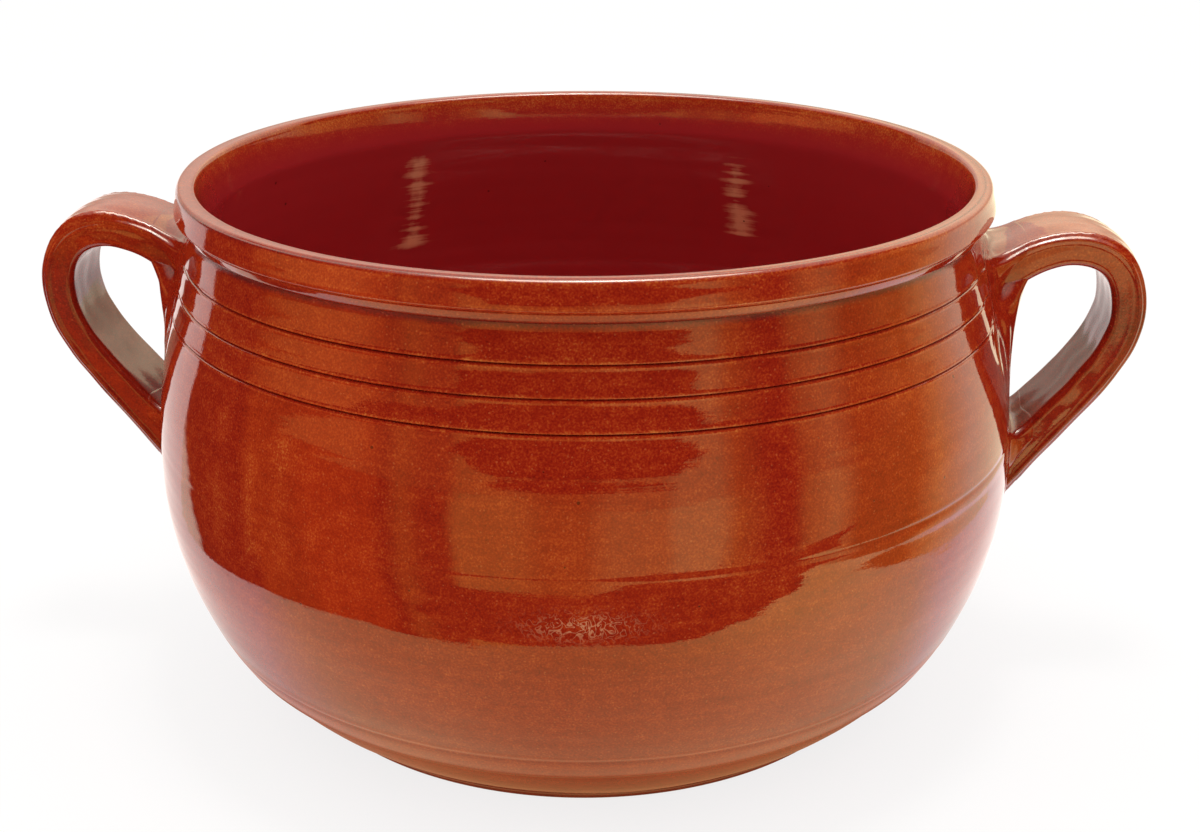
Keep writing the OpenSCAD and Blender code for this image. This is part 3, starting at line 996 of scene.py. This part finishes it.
# The shade that the pot casts on the paper, from one distance to another: share of the way out, and colour
shade_from, shade_to = 115, 155
pot_shade = [(0, "#a2705c"), (0.5, "#b08069"), (0.62, "#f6d2c8"), (0.9, "#f4d8ce"), (1, "#f4f0ee")]
# A painted shade darkens the paper under the belly's sides: distances from the pot's middle, places along X,
# and share
dim_from, dim_to = 200, 150
dim_side_from, dim_side_to = 50, 120
dim_share = 0.38
# What stands round the pot and shows in the glaze: bearings of both ends, in degrees from the front to the
# right, and colour
room_things = {
    "white backdrop behind": (-180, -123, "#c2bcab"),
    "dark edge of the backdrop": (-121, -94, "#2c1910"),
    "wooden shelf on the left": (-89, -77, "#a04c16"),
    "brick wall on the left": (-68, -51, "#dc5618"),
    "corner": (-46.3, -46.3, "#1c0f0a"),
    "board": (-41.5, -41.5, "#c07a30"),
    "doorway": (-36, -30, "#6c3616"),
    "sunlit wall, left part": (-27.5, -14, "#e9af52"),
    "sunlit wall, shaded by the camera": (-5, 4, "#c48637"),
    "sunlit wall, right part": (11, 24, "#eeb964"),
    "window": (27, 37, "#ffe088"),
    "window frame": (42, 42, "#cc9642"),
    "curtain": (51, 57, "#2a1511"),
    "board on the right": (61, 61, "#d0a050"),
    "lit end of the board": (69.5, 69.5, "#ffd27a"),
    "wall on the right": (77, 97, "#b87f2c"),
    "lit end of the wall": (106, 106, "#f0bc6c"),
    "white backdrop on the right": (122, 180, "#e3d6b6"),
}
# Bearings of the wall lamps' glow, and how strong it is
glow_color = "#ea9c4c"
glow_stops = [(-180, 0), (-95, 0), (-83, 0.7), (-70, 1), (-57, 1), (-50, 0.4), (-31, 0.35), (-27, 0), (82, 0),
              (90, 0.5), (100, 0.5), (106, 0), (180, 0)]
# How far up the room is lit, as the sine of the height: bearing, and height
skyline_stops = [(-180, 1), (-122, 1), (-118, 0.15), (-31, 0.15), (-24, 0.09), (-18, 0.056), (25, 0.056),
                 (30, 0.09), (36, 0.15), (108, 0.15), (112, 1), (180, 1)]
skyline_rough = 0.05
skyline_blur = 0.015


def by_bearing(tree, way, stops):
    """Colours that depend on the bearing of a vector from the front, to the right."""
    parts = add_node(tree, "SeparateXYZ", {0: way}).outputs
    ahead = add_node(tree, "Math", {0: parts["Y"], 1: -1}, operation="MULTIPLY")
    bearing = add_node(tree, "Math", {0: parts["X"], 1: ahead}, operation="ARCTAN2")
    share = add_node(tree, "MapRange", {"Value": bearing, "From Min": -math.pi, "From Max": math.pi})
    return add_node(tree, "ValToRGB", {"Fac": share},
                    [(degrees / 360 + 0.5, color) for degrees, color in stops])


def room_colors(tree, way):
    """Colours of the things in the room, by their bearing."""
    stops = {(degrees, code) for start, end, code in room_things.values() for degrees in (start, end)}
    return by_bearing(tree, way, [(degrees, hex_color(code)) for degrees, code in sorted(stops)])


def gray(share):
    """A gray that holds a share in each of its channels."""
    return [share] * 3 + [1]


def painted_paper_reflection(tree, place, spot):
    """Painted reflection of the white paper, as the floor shows it to the glaze: yellower in front, with
    painted shade under the belly's sides and a painted red shadow close to the pot."""
    skew = add_node(tree, "Math", {0: spot["tints on the left"], 1: spot["tints on the right"]},
                    operation="MAXIMUM")
    skewed = add_node(tree, "Math", {0: skew, 1: spot["Y"]}, operation="ADD")
    paleness = add_node(tree, "MapRange", {"Value": skewed, "From Min": tint_from * MM,
                                           "From Max": tint_to * MM})
    tint = add_node(tree, "ValToRGB", {"Fac": paleness}, [(at, hex_color(code)) for at, code in paper_tints])
    across = add_node(tree, "MapRange", {"Value": spot["X"], "From Min": -paper_half_width * MM,
                                         "From Max": paper_half_width * MM})
    lights = add_node(tree, "ValToRGB", {"Fac": across},
                      [(x / (2 * paper_half_width) + 0.5, gray(share)) for x, share in paper_lights])
    ahead = add_node(tree, "MapRange", {"Value": spot["Y"], "From Min": front_from * MM,
                                        "From Max": front_to * MM})
    beside = add_node(tree, "MapRange", {"Value": spot["X"], "From Min": side_from * MM,
                                         "From Max": side_to * MM, "To Min": side_light_from,
                                         "To Max": side_light_to})
    light = add_node(tree, "Mix", {0: ahead, 2: beside, 3: lights})
    out = add_node(tree, "VectorMath", {0: place}, operation="LENGTH").outputs["Value"]
    near = add_node(tree, "MapRange", {"Value": out, "From Min": dim_from * MM, "From Max": dim_to * MM,
                                       "To Max": dim_share})
    sideways = add_node(tree, "Math", {0: spot["X"]}, operation="ABSOLUTE")
    under_side = add_node(tree, "MapRange", {"Value": sideways, "From Min": dim_side_from * MM,
                                             "From Max": dim_side_to * MM, "To Max": -paper_power})
    dimmed = add_node(tree, "Math", {0: near, 1: under_side, 2: paper_power}, operation="MULTIPLY_ADD")
    power = add_node(tree, "Math", {0: light, 1: dimmed}, operation="MULTIPLY")
    clear = add_node(tree, "MapRange", {"Value": out, "From Min": shade_from * MM, "From Max": shade_to * MM})
    shade = add_node(tree, "ValToRGB", {"Fac": clear}, [(at, hex_color(code)) for at, code in pot_shade])
    shaded = add_node(tree, "VectorMath", {0: shade, 1: tint}, operation="MULTIPLY")
    return add_node(tree, "VectorMath", {0: shaded, "Scale": power}, operation="SCALE")


def pale_floor():
    """Matte pale paint, whitened for the camera. To reflections it glows instead with a painted reflection of
    the paper, the gap in front of it and the room."""
    material = new_material("pale_floor")
    tree = material.node_tree
    rays = add_node(tree, "LightPath").outputs
    place = add_node(tree, "TexCoord").outputs["Object"]
    parts = add_node(tree, "SeparateXYZ", {0: place}).outputs
    spot = {"X": parts["X"], "Y": parts["Y"]}
    for name, (slope, start) in floor_edges.items():
        spot[name] = add_node(tree, "Math", {0: spot["X"], 1: slope, 2: start * MM}, operation="MULTIPLY_ADD")

    # Where the paper lies
    paper_edge = spot["left of the paper, front part"]
    for name in ("left of the paper, middle part", "left of the paper, back part"):
        paper_edge = add_node(tree, "Math", {0: paper_edge, 1: spot[name]}, operation="MAXIMUM")
    corner = spot["left corner of the paper"]
    paper_edge = add_node(tree, "Math", {0: paper_edge, 1: corner}, operation="MINIMUM")
    front = spot["front of the paper"]
    paper_edge = add_node(tree, "Math", {0: front, 1: paper_edge}, operation="MAXIMUM")
    behind = add_node(tree, "Math", {0: spot["Y"], 1: paper_edge}, operation="GREATER_THAN")
    left_of_end = add_node(tree, "Math", {0: paper_right * MM, 1: spot["X"]}, operation="GREATER_THAN")
    on_paper = add_node(tree, "Math", {0: behind, 1: left_of_end}, operation="MINIMUM")

    # Where the gap in front of it lies
    gap_left_part = spot["front of the gap, left part"]
    gap_edge = add_node(tree, "Math", {0: gap_left_part, 1: gap_front * MM}, operation="MINIMUM")
    gap_right_part = spot["front of the gap, right part"]
    gap_edge = add_node(tree, "Math", {0: gap_edge, 1: gap_right_part}, operation="MAXIMUM")
    past_edge = add_node(tree, "Math", {0: spot["Y"], 1: gap_edge}, operation="GREATER_THAN")
    before_paper = add_node(tree, "Math", {0: front, 1: spot["Y"]}, operation="GREATER_THAN")
    right_of_start = add_node(tree, "Math", {0: spot["X"], 1: gap_left * MM}, operation="GREATER_THAN")
    in_gap = add_node(tree, "Math", {0: past_edge, 1: before_paper}, operation="MINIMUM")
    in_gap = add_node(tree, "Math", {0: in_gap, 1: right_of_start}, operation="MINIMUM")

    # A place on the floor shows on the belly half-way round between that place and the camera
    outward = add_node(tree, "VectorMath", {0: place}, operation="NORMALIZE")
    half_way = add_node(tree, "VectorMath", {0: outward, 1: camera_side}, operation="ADD")
    half_way = add_node(tree, "VectorMath", {0: half_way}, operation="NORMALIZE")
    mirror_spot = add_node(tree, "VectorMath", {0: half_way, "Scale": belly_radius * MM}, operation="SCALE")
    way = add_node(tree, "VectorMath", {0: place, 1: mirror_spot}, operation="SUBTRACT")
    painted_room_and_gap = add_node(tree, "Mix", {0: in_gap, 6: room_colors(tree, way), 7: hex_color(painted_gap_color)},
                          data_type="RGBA")
    painted_paper = painted_paper_reflection(tree, place, spot)
    mirrored = add_node(tree, "Mix", {0: on_paper, 6: painted_room_and_gap.outputs[2], 7: painted_paper}, data_type="RGBA")

    paint = add_node(tree, "BsdfDiffuse", {"Color": hex_color(floor_color)})
    glare = add_node(tree, "Emission", {"Color": hex_color(white), "Strength": 1.02})
    # Painted reflection: the floor glows with the paper, the gap and the room to glossy rays only
    glow_in_reflections = add_node(tree, "Emission", {"Color": mirrored.outputs[2], "Strength": room_strength})
    camera_share = add_node(tree, "Math", {0: rays["Is Camera Ray"], 1: 0.8}, operation="MULTIPLY")
    shown = add_node(tree, "MixShader", {0: camera_share, 1: paint, 2: glare})
    surface = add_node(tree, "MixShader", {0: rays["Is Glossy Ray"], 1: shown, 2: glow_in_reflections})
    add_node(tree, "OutputMaterial", {"Surface": surface})
    return material


def studio_world():
    """White to the camera, even soft light on the clay, and in reflections the room and a white ceiling."""
    world = bpy.data.worlds.new("studio")
    world.use_nodes = True
    bpy.context.scene.world = world
    tree = world.node_tree
    tree.nodes.clear()
    rays = add_node(tree, "LightPath").outputs
    way = add_node(tree, "TexCoord").outputs["Generated"]
    parts = add_node(tree, "SeparateXYZ", {0: way}).outputs
    rise = parts["Z"]

    # The room, as high as its ragged skyline
    skyline = by_bearing(tree, way, [(degrees, gray(height)) for degrees, height in skyline_stops])
    ragged = add_node(tree, "TexNoise", {"Vector": way, "Scale": 26, "Detail": 3})
    edge = add_node(tree, "Math", {0: ragged, 1: skyline_rough, 2: rise}, operation="MULTIPLY_ADD")
    edge = add_node(tree, "Math", {0: edge, 1: skyline_rough / 2}, operation="SUBTRACT")
    under = add_node(tree, "Math", {0: skyline, 1: edge}, operation="SUBTRACT")
    shown = add_node(tree, "MapRange", {"Value": under, "From Min": 0, "From Max": skyline_blur})
    lamp_glow = by_bearing(tree, way, [(degrees, gray(share)) for degrees, share in glow_stops])
    lamp_color = hex_color(glow_color)[:3]
    room = add_node(tree, "VectorMath", {0: lamp_glow, 1: lamp_color, 2: room_colors(tree, way)},
                    operation="MULTIPLY_ADD")
    lift = add_node(tree, "MapRange", {"Value": rise, "From Min": 0.15, "From Max": 0.35, "To Min": 0.7,
                                       "To Max": 1.4})
    lift = add_node(tree, "Math", {0: lift, 1: shown}, operation="MULTIPLY")
    low = add_node(tree, "VectorMath", {0: room, "Scale": lift}, operation="SCALE")

    # The ceiling, which is brightest straight above the pot
    above = add_node(tree, "MapRange", {"Value": rise, "From Min": 0.55, "From Max": 0.8},
                     interpolation_type="SMOOTHSTEP")
    glow = add_node(tree, "Mix", {0: above, 6: low, 7: hex_color(ceiling_color)}, data_type="RGBA")
    power = add_node(tree, "MapRange", {"Value": rise, "From Min": 0.88, "From Max": 0.95,
                                        "To Min": room_strength, "To Max": ceiling_strength})
    mirrored = add_node(tree, "Background", {"Color": glow.outputs[2], "Strength": power})

    # Soft light, weaker from the camera's side
    level = add_node(tree, "MapRange", {"Value": parts["Y"], "From Min": -1, "From Max": -0.2, "To Min": 0.4,
                                        "To Max": 1.12})
    soft = add_node(tree, "Background", {"Color": hex_color(white), "Strength": level})
    backdrop = add_node(tree, "Background", {"Color": hex_color(white), "Strength": 1})
    lit = add_node(tree, "MixShader", {0: rays["Is Glossy Ray"], 1: soft, 2: mirrored})
    straight = add_node(tree, "Math", {0: rays["Is Camera Ray"], 1: rays["Is Transmission Ray"]},
                        operation="MAXIMUM")
    sky = add_node(tree, "MixShader", {0: straight, 1: lit, 2: backdrop})
    add_node(tree, "OutputWorld", {"Surface": sky})


floor_shape = bmesh.new()
bmesh.ops.create_grid(floor_shape, x_segments=1, y_segments=1, size=floor_half_size)
floor = make_piece("floor", floor_shape)
floor.data.materials.append(pale_floor())
studio_world()

lamp = bpy.data.lights.new("ceiling_lamp", "AREA")
lamp.size = 0.25
lamp.energy = 4
lamp_holder = bpy.data.objects.new("ceiling_lamp", lamp)
lamp_holder.location = (0.05, -0.08, 1.3)
lamp_holder.rotation_euler = (-lamp_holder.location).to_track_quat("-Z", "Y").to_euler()
bpy.context.scene.collection.objects.link(lamp_holder)

camera_tilt = 21.32
camera_turn = 4.08
camera_data = bpy.data.cameras.new("camera")
camera_data.sensor_width = 36
camera_data.lens = 50.67
camera = bpy.data.objects.new("camera", camera_data)
camera.location = (0.04974, -0.61905, 0.341)
camera.rotation_euler = (math.radians(90 - camera_tilt), 0, math.radians(camera_turn))
bpy.context.scene.collection.objects.link(camera)
bpy.context.scene.camera = camera
bpy.context.scene.view_settings.view_transform = "Standard"
